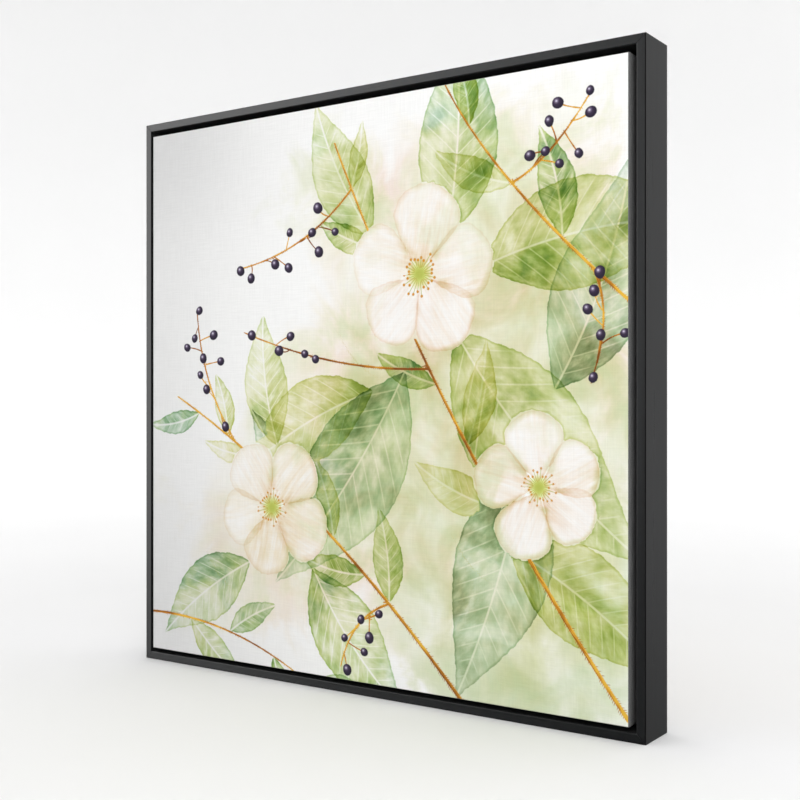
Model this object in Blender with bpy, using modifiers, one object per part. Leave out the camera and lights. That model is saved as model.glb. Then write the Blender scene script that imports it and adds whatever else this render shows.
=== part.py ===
"""A square stretched canvas in a black floater frame, standing on its lower rail.

Metres, +Z up. The picture faces -Y and the wall side faces +Y. The origin is at
the middle of the underside of the lower rail, halfway through the whole depth.
"""

import math

import bmesh
import bpy
from mathutils import Vector

# Driving dimensions of the canvas and its stretcher
CANVAS_SIDE = 0.610
CLOTH_THICKNESS = 0.0006
CLOTH_EDGE_RADIUS = 0.0010
FOLD_WIDTH = 0.032
BAR_DEPTH = 0.038
BAR_WIDTH = 0.042
BAR_BEAD = 0.006
BAR_FALL = 0.004
BAR_FRONT_RADIUS = 0.0020
BAR_RADIUS = 0.0010

# Driving dimensions of the floater frame
FLOAT_GAP = 0.0061
LIP_WIDTH = 0.009
FRAME_DEPTH = 0.051
LEDGE_WIDTH = 0.032
LEDGE_THICKNESS = 0.0140
LIP_RADIUS = 0.0008
BACK_RADIUS = 0.0014

# How far the canvas hangs below the frame's middle, so that the gap above it is the wider one
CANVAS_DROP = 0.0008

# Gap left between pieces that touch in the real object
CLEARANCE = 0.0003

# Countersunk screws through the ledge into the stretcher
SCREW_LENGTH = 0.030
SCREW_POINT = 0.005
SCREW_SHANK_RADIUS = 0.0018
SCREW_HEAD_RADIUS = 0.0036
SCREW_HEAD_DEPTH = 0.0022
SCREW_ALONG = 0.215
SCREW_INSET = 0.0245
CROSS_WIDTH = 0.0010
CROSS_REACH = 0.0021
CROSS_DEPTH = 0.0014

# Sawtooth hanger on the top rail, with its two nails
HANGER_LENGTH = 0.046
HANGER_TAB = 0.009
HANGER_RAMP = 0.0023
HANGER_RISE = 0.0013
HANGER_HEIGHT = 0.0115
HANGER_SHEET = 0.0007
HANGER_TEETH = 14
TOOTH_DEPTH = 0.0014
HANGER_INSET = 0.0165
NAIL_LENGTH = 0.010
NAIL_POINT = 0.0015
NAIL_SHANK_RADIUS = 0.0007
NAIL_HEAD_RADIUS = 0.0019
NAIL_HEAD_DEPTH = 0.0006

# Rubber bumpers on the lower corners of the back
STAND_OFF = 0.003
BUMPER_RADIUS = 0.0055
BUMPER_EDGE_RADIUS = 0.0010
BUMPER_INSET = 0.016
BUMPER_ALONG = 0.296

# Derived sizes. Places through the depth are counted forwards from the frame's back.
OUTER_SIDE = CANVAS_SIDE + 2 * (FLOAT_GAP + LIP_WIDTH)
HALF_SIDE = OUTER_SIDE / 2
BAR_INSET = LIP_WIDTH + FLOAT_GAP + CLOTH_THICKNESS + CLEARANCE
FOLD_BACK = LEDGE_THICKNESS + CLEARANCE
BAR_BACK = FOLD_BACK + CLOTH_THICKNESS + CLEARANCE
BAR_FRONT = BAR_BACK + BAR_DEPTH
CANVAS_FRONT = BAR_FRONT + CLEARANCE + CLOTH_THICKNESS
BACK_Y = (CANVAS_FRONT - STAND_OFF) / 2
MITRE_CUT = CLEARANCE / math.sqrt(2)

# The four sides, each a quarter turn on from the one before
SIDES = ("bottom", "left", "top", "right")

# A turned piece made along +Z points forwards, into the picture, after this turn
FORWARDS = (math.radians(90), 0.0, 0.0)

# Segments of a rounded corner, and steps round a turned piece
ARC_SEGMENTS = 3
TURN_STEPS = 20

# Reach of a cutter past the surface that it opens
OVERCUT = 0.002


def material(name, colour, roughness, metallic=0.0):
    """A Principled material of one colour."""
    made = bpy.data.materials.new(name)
    made.use_nodes = True
    shader = made.node_tree.nodes["Principled BSDF"]
    shader.inputs["Base Color"].default_value = (*colour, 1.0)
    shader.inputs["Roughness"].default_value = roughness
    shader.inputs["Metallic"].default_value = metallic
    return made


def add(name, data, collection, parent=None, location=(0.0, 0.0, 0.0), rotation=(0.0, 0.0, 0.0)):
    """An object in a collection, placed under its parent."""
    placed = bpy.data.objects.new(name, data)
    collection.objects.link(placed)
    placed.parent = parent
    placed.location = location
    placed.rotation_euler = rotation
    return placed


def square_of_empties(name, height):
    """An empty at a height on the frame's back, and one for each side, turned about it."""
    middle = add(name + "_centre", None, parts, location=(0.0, BACK_Y, height))
    sides = {}
    for quarter, side in enumerate(SIDES):
        angle = math.radians(90 * quarter)
        sides[side] = add(f"{name}_side_{side}", None, parts, middle, rotation=(0.0, angle, 0.0))
    return middle, sides


def evaluated_mesh(placed):
    """The mesh that an object's curve or modifiers make. The object is removed."""
    name = placed.name
    depsgraph = bpy.context.evaluated_depsgraph_get()
    mesh = bpy.data.meshes.new_from_object(placed.evaluated_get(depsgraph))
    bpy.data.objects.remove(placed)
    mesh.name = name
    return mesh


def box_mesh(name, size):
    """A box about the origin."""
    bm = bmesh.new()
    bmesh.ops.create_cube(bm, size=1.0)
    bmesh.ops.scale(bm, vec=size, verts=bm.verts)
    mesh = bpy.data.meshes.new(name)
    bm.to_mesh(mesh)
    bm.free()
    return mesh


def rounded(corners):
    """An outline whose corners, each (x, y, radius), are replaced by arcs."""
    outline = []
    for i, (x, y, radius) in enumerate(corners):
        corner = Vector((x, y))
        if radius == 0:
            outline.append(corner)
            continue
        before = (Vector(corners[i - 1][:2]) - corner).normalized()
        after = (Vector(corners[(i + 1) % len(corners)][:2]) - corner).normalized()
        half_angle = before.angle(after) / 2
        centre = corner + (before + after).normalized() * (radius / math.sin(half_angle))
        start = corner + before * (radius / math.tan(half_angle)) - centre
        turn = math.copysign(math.pi - 2 * half_angle, after.cross(before))
        for k in range(ARC_SEGMENTS + 1):
            angle = turn * k / ARC_SEGMENTS
            x_part = start.x * math.cos(angle) - start.y * math.sin(angle)
            y_part = start.x * math.sin(angle) + start.y * math.cos(angle)
            outline.append(centre + Vector((x_part, y_part)))
    return outline


def mitred_length(name, corners):
    """A moulding for one side, from its section as (inset, forward, radius) corners.

    It lies along X below the middle of the frame, with both ends cut at 45 degrees.
    """
    curve = bpy.data.curves.new(name, "CURVE")
    curve.dimensions = "2D"
    curve.fill_mode = "BOTH"
    curve.extrude = HALF_SIDE
    outline = rounded(corners)
    spline = curve.splines.new("POLY")
    spline.points.add(len(outline) - 1)
    for point, (inset, forward) in zip(spline.points, outline):
        point.co = (inset, forward, 0.0, 1.0)
    spline.use_cyclic_u = True
    mesh = evaluated_mesh(add(name, curve, shapes))

    bm = bmesh.new()
    bm.from_mesh(mesh)
    bmesh.ops.remove_doubles(bm, verts=bm.verts, dist=0.00001)
    for vertex in bm.verts:
        inset, forward, along = vertex.co
        reach = HALF_SIDE - inset - MITRE_CUT
        vertex.co = (math.copysign(reach, along), -forward, inset - HALF_SIDE)
    bm.to_mesh(mesh)
    bm.free()
    mesh.set_sharp_from_angle(angle=math.radians(35))
    return mesh


def turned(name, profile):
    """A solid of revolution about Z, from (radius, height) points, top to bottom."""
    mesh = bpy.data.meshes.new(name)
    points = [(radius, 0.0, height) for radius, height in profile]
    mesh.from_pydata(points, [(i, i + 1) for i in range(len(points) - 1)], [])
    placed = add(name, mesh, shapes)
    turn = placed.modifiers.new("Turn", "SCREW")
    turn.steps = TURN_STEPS
    turn.render_steps = TURN_STEPS
    turn.use_merge_vertices = True
    turn.merge_threshold = 0.00001
    solid = evaluated_mesh(placed)
    solid.shade_smooth()
    solid.set_sharp_from_angle(angle=math.radians(40))
    return solid


def cutter(name, mesh, parent=None, location=(0.0, 0.0, 0.0), rotation=(0.0, 0.0, 0.0)):
    """A cutting shape, which is not part of the object."""
    placed = add(name, mesh, cutters, parent, location, rotation)
    placed.hide_render = True
    placed.display_type = "WIRE"
    return placed


def cut(placed, tool):
    """Cuts one shape out of an object."""
    boolean = placed.modifiers.new(tool.name, "BOOLEAN")
    boolean.operation = "DIFFERENCE"
    boolean.solver = "EXACT"
    boolean.object = tool


def rail_section():
    """The L of a floater moulding: a thin wall outside and a wide ledge behind."""
    return [
        (0.0, 0.0, BACK_RADIUS),
        (LEDGE_WIDTH, 0.0, LIP_RADIUS),
        (LEDGE_WIDTH, LEDGE_THICKNESS, LIP_RADIUS),
        (LIP_WIDTH, LEDGE_THICKNESS, 0.0),
        (LIP_WIDTH, FRAME_DEPTH, LIP_RADIUS),
        (0.0, FRAME_DEPTH, LIP_RADIUS),
    ]


def bar_section():
    """A stretcher bar, whose front falls away behind a bead that lifts the cloth."""
    inner = BAR_INSET + BAR_WIDTH
    return [
        (BAR_INSET, BAR_BACK, BAR_RADIUS),
        (inner, BAR_BACK, BAR_RADIUS),
        (inner, BAR_FRONT - BAR_FALL, BAR_RADIUS),
        (BAR_INSET + BAR_BEAD, BAR_FRONT, 0.0),
        (BAR_INSET, BAR_FRONT, BAR_FRONT_RADIUS),
    ]


def canvas_mesh():
    """The cloth as a surface: a tray over the bars, its edges folded onto their backs."""
    depth = CANVAS_FRONT - FOLD_BACK
    bm = bmesh.new()
    bmesh.ops.create_cube(bm, size=1.0)
    bmesh.ops.scale(bm, vec=(CANVAS_SIDE, depth, CANVAS_SIDE), verts=bm.verts)
    bmesh.ops.translate(bm, vec=(0.0, -FOLD_BACK - depth / 2, 0.0), verts=bm.verts)
    back = max(bm.faces, key=lambda face: face.calc_center_median().y)
    bmesh.ops.inset_region(bm, faces=[back], thickness=FOLD_WIDTH, use_even_offset=True)
    bmesh.ops.delete(bm, geom=[back], context="FACES")
    mesh = bpy.data.meshes.new("canvas")
    bm.to_mesh(mesh)
    bm.free()
    return mesh


def screw_profile(grown, back):
    """A countersunk screw pointing up, grown by a clearance and ended at its back."""
    return [
        (0.0, SCREW_LENGTH + grown),
        (SCREW_SHANK_RADIUS + grown, SCREW_LENGTH - SCREW_POINT + grown),
        (SCREW_SHANK_RADIUS + grown, SCREW_HEAD_DEPTH + grown),
        (SCREW_HEAD_RADIUS + grown, grown),
        (SCREW_HEAD_RADIUS + grown, -back),
        (0.0, -back),
    ]


def screw_mesh():
    """The screw, with a cross recess in its head."""
    placed = add("screw", turned("screw", screw_profile(0.0, CLEARANCE)), shapes)
    wide = box_mesh("cross_wide", (2 * CROSS_REACH, CROSS_WIDTH, 2 * CROSS_DEPTH))
    cut(placed, cutter("cross_wide", wide))
    high = box_mesh("cross_high", (CROSS_WIDTH, 2 * CROSS_REACH, 2 * CROSS_DEPTH))
    cut(placed, cutter("cross_high", high))
    return evaluated_mesh(placed)


def hanger_mesh():
    """A strip with a tab at each end, a raised middle and teeth on its lower edge."""
    raised = HANGER_LENGTH / 2 - HANGER_TAB - HANGER_RAMP
    steps = 2 * HANGER_TEETH
    places = [-HANGER_LENGTH / 2, HANGER_TAB - HANGER_LENGTH / 2]
    places += [raised * (2 * k / steps - 1) for k in range(steps + 1)]
    places += [HANGER_LENGTH / 2 - HANGER_TAB, HANGER_LENGTH / 2]
    last = len(places) - 1

    bm = bmesh.new()
    bmesh.ops.create_grid(bm, x_segments=last, y_segments=1, size=0.5)
    for vertex in bm.verts:
        column = round((vertex.co.x + 0.5) * last)
        is_raised = 1 < column < last - 1
        height = math.copysign(HANGER_HEIGHT / 2, vertex.co.y)
        if is_raised and column % 2 and height < 0:
            height += TOOTH_DEPTH
        vertex.co = (places[column], HANGER_RISE if is_raised else 0.0, height)
    mesh = bpy.data.meshes.new("hanger")
    bm.to_mesh(mesh)
    bm.free()
    return mesh


def nail_profile():
    """A flat-headed nail pointing up, with its head below height 0."""
    return [
        (0.0, NAIL_LENGTH),
        (NAIL_SHANK_RADIUS, NAIL_LENGTH - NAIL_POINT),
        (NAIL_SHANK_RADIUS, 0.0),
        (NAIL_HEAD_RADIUS, 0.0),
        (NAIL_HEAD_RADIUS, -NAIL_HEAD_DEPTH),
        (0.0, -NAIL_HEAD_DEPTH),
    ]


def nail_hole_profile():
    """The hole for the nail's shank."""
    return [
        (0.0, NAIL_LENGTH + CLEARANCE),
        (NAIL_SHANK_RADIUS + CLEARANCE, NAIL_LENGTH + CLEARANCE),
        (NAIL_SHANK_RADIUS + CLEARANCE, -OVERCUT),
        (0.0, -OVERCUT),
    ]


def bumper_profile():
    """A round rubber foot with a rounded outer edge, hanging below height 0."""
    thickness = STAND_OFF - CLEARANCE
    edge = BUMPER_EDGE_RADIUS
    profile = [(0.0, 0.0), (BUMPER_RADIUS, 0.0)]
    for k in range(ARC_SEGMENTS + 1):
        angle = math.pi / 2 * k / ARC_SEGMENTS
        radius = BUMPER_RADIUS - edge + edge * math.cos(angle)
        profile.append((radius, edge - thickness - edge * math.sin(angle)))
    profile.append((0.0, -thickness))
    return profile


# Empty scene, with a collection for the pieces and others for what shapes them
for old in list(bpy.data.objects):
    bpy.data.objects.remove(old, do_unlink=True)
parts = bpy.data.collections.new("framed_canvas")
cutters = bpy.data.collections.new("cutters")
shapes = bpy.data.collections.new("shapes")
for collection in (parts, cutters, shapes):
    bpy.context.scene.collection.children.link(collection)

# Mitred rails and stretcher bars, one of each to a side
centre, turns = square_of_empties("frame", HALF_SIDE)
canvas_centre, canvas_turns = square_of_empties("stretcher", HALF_SIDE - CANVAS_DROP)
rail = mitred_length("rail", rail_section())
rail.materials.append(material("black stained wood", (0.020, 0.021, 0.022), 0.45))
bar = mitred_length("bar", bar_section())
bar.materials.append(material("raw pine", (0.62, 0.43, 0.24), 0.7))
rails = {side: add("rail_" + side, rail, parts, turns[side]) for side in SIDES}
bars = {side: add("bar_" + side, bar, parts, canvas_turns[side]) for side in SIDES}

# The cloth, stretched over the bars
canvas = add("canvas", canvas_mesh(), parts, canvas_centre)
canvas.data.materials.append(material("primed cotton canvas", (0.78, 0.80, 0.74), 0.85))
edges = canvas.modifiers.new("Edges", "BEVEL")
edges.width = CLOTH_EDGE_RADIUS
edges.segments = 2
edges.limit_method = "ANGLE"
edges.angle_limit = math.radians(60)
cloth = canvas.modifiers.new("Cloth", "SOLIDIFY")
cloth.thickness = CLOTH_THICKNESS
cloth.offset = -1.0
cloth.use_even_offset = True

# Two screws to a side, sunk just below the back, and their holes
screw = screw_mesh()
screw.materials.append(material("zinc plated steel", (0.60, 0.60, 0.58), 0.35, 1.0))
screw_hole = turned("screw_hole", screw_profile(CLEARANCE, OVERCUT))
for side in SIDES:
    for number, along in enumerate((-SCREW_ALONG, SCREW_ALONG), start=1):
        name = f"screw_{side}_{number}"
        place = (along, -2 * CLEARANCE, SCREW_INSET - HALF_SIDE)
        add(name, screw, parts, turns[side], place, FORWARDS)
        hole = cutter(name + "_hole", screw_hole, turns[side], place, FORWARDS)
        for drilled in (rails[side], bars[side], canvas):
            cut(drilled, hole)

# The sawtooth hanger, held by a nail through each tab
hanger_y = CLEARANCE + HANGER_SHEET / 2
hanger_z = HALF_SIDE - HANGER_INSET
hanger = add("hanger", hanger_mesh(), parts, centre, (0.0, hanger_y, hanger_z))
hanger.data.materials.append(material("brassed steel", (0.55, 0.42, 0.20), 0.35, 1.0))
sheet = hanger.modifiers.new("Sheet", "SOLIDIFY")
sheet.thickness = HANGER_SHEET
sheet.offset = 0.0
nail = turned("nail", nail_profile())
nail.materials.append(hanger.data.materials[0])
nail_hole = turned("nail_hole", nail_hole_profile())
nail_along = (HANGER_LENGTH - HANGER_TAB) / 2
for side, along in (("left", -nail_along), ("right", nail_along)):
    name = "hanger_nail_" + side
    place = (along, 2 * CLEARANCE + HANGER_SHEET, hanger_z)
    add(name, nail, parts, centre, place, FORWARDS)
    hole = cutter(name + "_hole", nail_hole, centre, place, FORWARDS)
    cut(hanger, hole)
    cut(rails["top"], hole)

# Rubber bumpers that keep the lower rail as far off a wall as the hanger is
bumper = turned("bumper", bumper_profile())
bumper.materials.append(material("black rubber", (0.03, 0.03, 0.03), 0.7))
for side, along in (("left", -BUMPER_ALONG), ("right", BUMPER_ALONG)):
    place = (along, CLEARANCE, BUMPER_INSET - HALF_SIDE)
    add("bumper_" + side, bumper, parts, centre, place, FORWARDS)
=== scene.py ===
"""A square canvas picture in a black floater frame, standing on a pale studio floor."""

import math

import bmesh
import bpy
import numpy as np
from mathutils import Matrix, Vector


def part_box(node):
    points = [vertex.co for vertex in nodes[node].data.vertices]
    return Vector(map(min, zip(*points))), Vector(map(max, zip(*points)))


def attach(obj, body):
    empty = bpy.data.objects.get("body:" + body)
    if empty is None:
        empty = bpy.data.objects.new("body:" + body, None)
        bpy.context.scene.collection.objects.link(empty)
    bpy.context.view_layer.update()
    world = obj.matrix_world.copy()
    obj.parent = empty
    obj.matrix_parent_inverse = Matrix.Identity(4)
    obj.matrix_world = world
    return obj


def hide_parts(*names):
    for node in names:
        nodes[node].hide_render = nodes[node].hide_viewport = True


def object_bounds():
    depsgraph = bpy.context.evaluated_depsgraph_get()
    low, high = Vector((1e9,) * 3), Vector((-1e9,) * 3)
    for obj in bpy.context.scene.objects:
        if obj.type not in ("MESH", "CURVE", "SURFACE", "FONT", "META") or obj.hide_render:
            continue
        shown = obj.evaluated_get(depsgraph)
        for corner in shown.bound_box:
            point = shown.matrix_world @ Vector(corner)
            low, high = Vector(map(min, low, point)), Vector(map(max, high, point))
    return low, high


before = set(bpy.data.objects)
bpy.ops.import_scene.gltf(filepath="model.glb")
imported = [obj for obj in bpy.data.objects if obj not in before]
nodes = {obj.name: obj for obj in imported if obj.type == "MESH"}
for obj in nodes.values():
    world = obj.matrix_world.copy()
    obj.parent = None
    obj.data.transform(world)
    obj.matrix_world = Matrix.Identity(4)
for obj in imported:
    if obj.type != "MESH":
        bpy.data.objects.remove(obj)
cad_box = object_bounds()
scene = bpy.context.scene

# Stretcher bars
# The hidden carcass of a stretched canvas: four planed pine bars, mitred at the corners.
# Raw softwood, straight grained along each bar, pale straw with darker summer growth.
PINE_EARLY = "#e3cda6"
PINE_MIDDLE = "#d6b98a"
PINE_LATE = "#bd9460"
GROWTH_WIDTH = 0.016
FIBRE_WIDTH = 0.0007
GRAIN_STRETCH = 26.0


def colour(code):
    """An sRGB hex value as a linear colour."""
    channels = [int(code[k:k + 2], 16) / 255 for k in (1, 3, 5)]
    return [*(c / 12.92 if c <= 0.04045 else ((c + 0.055) / 1.055) ** 2.4 for c in channels), 1.0]


def feed(made, inputs):
    """Sets or links a node's inputs, in order or by name."""
    in_order = [socket for socket in made.inputs if socket.enabled]
    named = inputs.items() if isinstance(inputs, dict) else zip(range(len(inputs)), inputs)
    for key, value in named:
        socket = made.inputs[key] if isinstance(inputs, dict) else in_order[key]
        if isinstance(value, bpy.types.NodeSocket):
            made.id_data.links.new(value, socket)
        else:
            socket.default_value = value


def add(tree, kind, inputs=(), out=0, stops=(), **settings):
    """Adds a node with its settings and links, and gives one of its outputs."""
    made = tree.nodes.new(kind)
    for name, value in settings.items():
        setattr(made, name, value)
    feed(made, inputs)
    for k, (position, code) in enumerate(stops):
        element = made.color_ramp.elements[k] if k < 2 else made.color_ramp.elements.new(position)
        element.position, element.color = position, colour(code)
    return made.outputs[out] if isinstance(out, str) else [s for s in made.outputs if s.enabled][out]


def new_finish(name):
    """A material with its shader, its tree and the place on the piece, in metres."""
    made = bpy.data.materials.new(name)
    made.use_nodes = True
    tree = made.node_tree
    return made, tree.nodes["Principled BSDF"], tree, add(tree, "ShaderNodeTexCoord", out="Object")


def dress(piece, *finishes):
    """Gives a piece its materials."""
    piece.data.materials.clear()
    for finish in finishes:
        piece.data.materials.append(finish)


def planed_pine(axis):
    """Pine, planed and left raw: satiny straw colour, with soft rings drawn out into lines."""
    made, shader, tree, place = new_finish("planed pine, grain along " + axis)
    shrink = [1 / GRAIN_STRETCH if name == axis else 1.0 for name in "xyz"]
    grain = add(tree, "ShaderNodeMapping", {"Vector": place, "Scale": shrink})
    growth = add(tree, "ShaderNodeTexNoise", [grain, 1 / GROWTH_WIDTH, 1.5, 0.5, 2.0, 0.4])
    rings = add(tree, "ShaderNodeMath", [growth, 9.0], operation="MULTIPLY")
    rings = add(tree, "ShaderNodeMath", [rings, 1.0], operation="PINGPONG")
    fibre = add(tree, "ShaderNodeTexNoise", [grain, 1 / FIBRE_WIDTH, 3.0])
    rings = add(tree, "ShaderNodeMath", [rings, 0.7], operation="MULTIPLY")
    tone = add(tree, "ShaderNodeMath", [fibre, 0.35, rings], operation="MULTIPLY_ADD")
    stops = [(0.15, PINE_EARLY), (0.55, PINE_MIDDLE), (0.95, PINE_LATE)]
    tint = add(tree, "ShaderNodeValToRGB", [tone], stops=stops)
    bump = add(tree, "ShaderNodeBump", {"Distance": 0.0001, "Height": fibre})
    feed(shader, {"Base Color": tint, "Roughness": 0.62, "Normal": bump})
    return made


# The axis that the wood of each side runs along.
LENGTHWAYS = {"bottom": "x", "left": "z", "top": "x", "right": "z"}
pine_along = {axis: planed_pine(axis) for axis in "xz"}
for side, axis in LENGTHWAYS.items():
    dress(nodes["bar_" + side], pine_along[axis])

# Canvas
# Primed cotton duck pulled tight over the bars, folded round them and cut off behind.
# The front is printed with a loose watercolour of leaves, blossoms and berries, and the
# sides with a plain dark grey border. Lengths of the painting are in millimetres.
EDGE_RADIUS = 0.0012
CLOTH_THICKNESS = 0.0006
FOLD_WIDTH = 0.032
BORDER_ON_BACK = 0.009
CELLS = 280
cloth_low, cloth_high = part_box("canvas")
half = (cloth_high[0] - cloth_low[0]) / 2
middle_z = (cloth_low[2] + cloth_high[2]) / 2
flat_half = half - EDGE_RADIUS
steps = np.linspace(-flat_half, flat_half, CELLS + 1)
over, up = (1000 * field for field in np.meshgrid(steps, steps))
rng = np.random.default_rng(24)

# The painting's strokes go into a few glazes, so that each glaze holds strokes that keep
# clear of each other, and strokes of different glazes show through where they cross.
GLAZES = 4
KEEP_CLEAR = 5.0
PETAL_MARGIN = 0.7
FAR = -80.0
glazes = [{"edge": np.full(over.shape, FAR), "place": np.zeros(over.shape + (3,)),
           "paint": np.zeros(over.shape + (3,))} for _ in range(GLAZES)]
petal_edge = np.full(over.shape, FAR)
# An outline's fullest place, which is nearer the tip above 1 and nearer the base below 1,
# and how pointed its ends are.
PETAL_SHAPE = (1.5, 0.62)
LEAF_SHAPE = (0.82, 1.15)


def stroke(base, heading, length, width, bend, fullest, point):
    """Edge distance, place along and place across one leaf or petal."""
    radius = length / math.radians(bend)
    turn = math.radians(heading)
    centre = np.array(base) + radius * np.array((-math.sin(turn), math.cos(turn)))
    right, rise = over - centre[0], up - centre[1]
    start = math.atan2(base[1] - centre[1], base[0] - centre[0])
    swing = (np.arctan2(rise, right) - start + math.pi) % (2 * math.pi) - math.pi
    along, across = swing * radius, radius - math.copysign(1, radius) * np.hypot(right, rise)
    part, step = np.clip(along / length, 0, 1), 0.01
    outline = width / 2 * np.sin(math.pi * part ** fullest) ** point
    ahead = width / 2 * np.sin(math.pi * np.clip(part + step, 0, 1) ** fullest) ** point
    slope = (ahead - outline) / (step * length)
    edge = (outline - np.abs(across)) / np.sqrt(1 + slope ** 2)
    beyond = np.maximum(-along, along - length)
    return np.where(beyond > 0, -np.hypot(beyond, across), edge), along, across


def glaze_with(edge, vein, across, brush, tone, strength):
    """Puts a stroke in the first glaze where it keeps clear of the strokes before it."""
    clear = [g for g in glazes if np.minimum(edge, g["edge"]).max() < -KEEP_CLEAR]
    chosen = clear[0] if clear else glazes[-1]
    inside = edge > chosen["edge"]
    chosen["edge"] = np.maximum(edge, chosen["edge"])
    chosen["place"][inside] = np.stack([edge, vein, across], -1)[inside]
    chosen["paint"][inside] = np.stack([np.full(edge.shape, tone), strength, brush], -1)[inside]


# Blossoms: middle, reach of a petal, first petal's direction, tone. Petals overlap within
# the eye, a heart of filaments lies over it, and stems end short of the petals' reach.
# Chance turns, sizes and bends each petal a little. Its colour is fullest at its foot, and
# its brush streaks run along it.
BLOSSOMS = [((78, 118), 84, 12, 0.03), ((-118, -128), 74, 50, 0.06), ((214, -92), 66, 30, 0.02)]
PETALS = 5
PETAL_START = 5.0
PETAL_WIDTH = 0.92
PETAL_DEPTH = 0.9
STREAK_WIDTH, STREAK_LENGTH = 5.0, 45.0
EYE, HEART, STEM_STOP = 0.35, 0.45, 0.8
for middle, reach, first, tone in BLOSSOMS:
    petal_edge = np.maximum(petal_edge, EYE * reach - np.hypot(over - middle[0], up - middle[1]))
    for k in range(PETALS):
        heading = first + 360 / PETALS * k + rng.uniform(-7, 7)
        turn = math.radians(heading)
        base = (middle[0] + PETAL_START * math.cos(turn), middle[1] + PETAL_START * math.sin(turn))
        size = reach * rng.uniform(0.92, 1.06)
        bend = rng.uniform(-12, 12) or 1
        edge, along, across = stroke(base, heading, size, PETAL_WIDTH * size, bend, *PETAL_SHAPE)
        petal_edge = np.maximum(petal_edge, edge)
        part = np.clip(along / size, 0, 1)
        strength = PETAL_DEPTH * rng.uniform(0.55, 0.9) * (1.5 - 2.6 * part + 1.8 * part ** 2)
        tint = tone + rng.uniform(0, 0.05)
        glaze_with(edge, across / STREAK_WIDTH, across, along / STREAK_LENGTH, tint, strength)

# A leaf's side veins slant, its brush streaks run along them, and its tip is paler.
VEIN_GAP, VEIN_GAP_GROWTH = 5.0, 0.055
VEIN_SLANT = 0.85
LEAF_STREAK = 18.0


def leaf(base, heading, length, width, bend, tone, depth):
    """Paints one leaf, which stops short of the petals."""
    edge, along, across = stroke(base, heading, length, width, bend, *LEAF_SHAPE)
    edge = np.minimum(edge, -petal_edge - PETAL_MARGIN)
    vein = (along - VEIN_SLANT * np.abs(across)) / (VEIN_GAP + VEIN_GAP_GROWTH * length)
    part = np.clip(along / length, 0, 1)
    strength = depth * (1.06 - 0.45 * part)
    glaze_with(edge, vein, across, np.abs(across) / LEAF_STREAK, tone, strength)


def bend_of(start, pull, end, count=40):
    """Points along a stem that leaves one point and is pulled towards another."""
    t = np.linspace(0, 1, count)[:, None]
    start, pull, end = np.array(start), np.array(pull), np.array(end)
    return (1 - t) ** 2 * start + 2 * t * (1 - t) * pull + t ** 2 * end


# Large leaves: base, direction, length, width, bend, tone, depth of colour.
LARGE_LEAVES = [
    ((120, 60), -58, 300, 128, 22, 0.62, 0.85), ((60, 20), -118, 290, 120, -18, 0.80, 0.70),
    ((150, 120), 20, 240, 104, -26, 0.55, 0.95), ((110, 150), 78, 215, 92, 18, 0.70, 0.80),
    ((230, 0), 58, 230, 96, 24, 0.88, 0.75), ((20, 0), 196, 205, 88, 22, 0.45, 0.75),
    ((-60, -190), -62, 190, 86, 26, 0.66, 0.90), ((180, -150), -24, 200, 90, -20, 0.50, 0.95),
    ((200, -60), -100, 260, 106, -16, 0.92, 0.80), ((20, 160), 128, 170, 70, -22, 0.60, 0.75),
    ((-150, -190), 205, 165, 72, 20, 0.72, 0.80), ((-110, -60), 110, 150, 62, -24, 0.50, 0.70),
]
for row in LARGE_LEAVES:
    leaf(*row)

# Stems: start, pull, end, leaves on it, and the thickness of the stem. A stem tapers, and its
# leaves stand along one part of it, on either side in turn, and are shorter towards its end.
LEAVES_FROM, LEAVES_OVER = 0.30, 0.66
TAPER = 0.45
STEMS = [
    ((330, -330), (110, -60), (-30, 262), 7, 2.1), ((150, -330), (-40, -120), (-262, -6), 8, 2.0),
    ((330, 60), (150, 210), (96, 330), 4, 1.6), ((-330, -262), (-170, -250), (-40, -330), 4, 1.4),
]
stems = []
for start, pull, end, count, thickness in STEMS:
    points = bend_of(start, pull, end)
    stems.append((points, thickness, TAPER * thickness))
    for k in range(count):
        t = LEAVES_FROM + LEAVES_OVER * k / (count - 1)
        spot = int(t * (len(points) - 2))
        run = points[spot + 1] - points[spot]
        heading = math.degrees(math.atan2(run[1], run[0]))
        side = 1 if k % 2 else -1
        length = rng.uniform(88, 122) * (1.15 - 0.45 * t)
        leaf(tuple(points[spot]), heading + side * rng.uniform(34, 56), length,
             length * rng.uniform(0.30, 0.38), -side * rng.uniform(14, 34),
             rng.uniform(0.34, 0.96), rng.uniform(0.75, 1.25))

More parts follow.
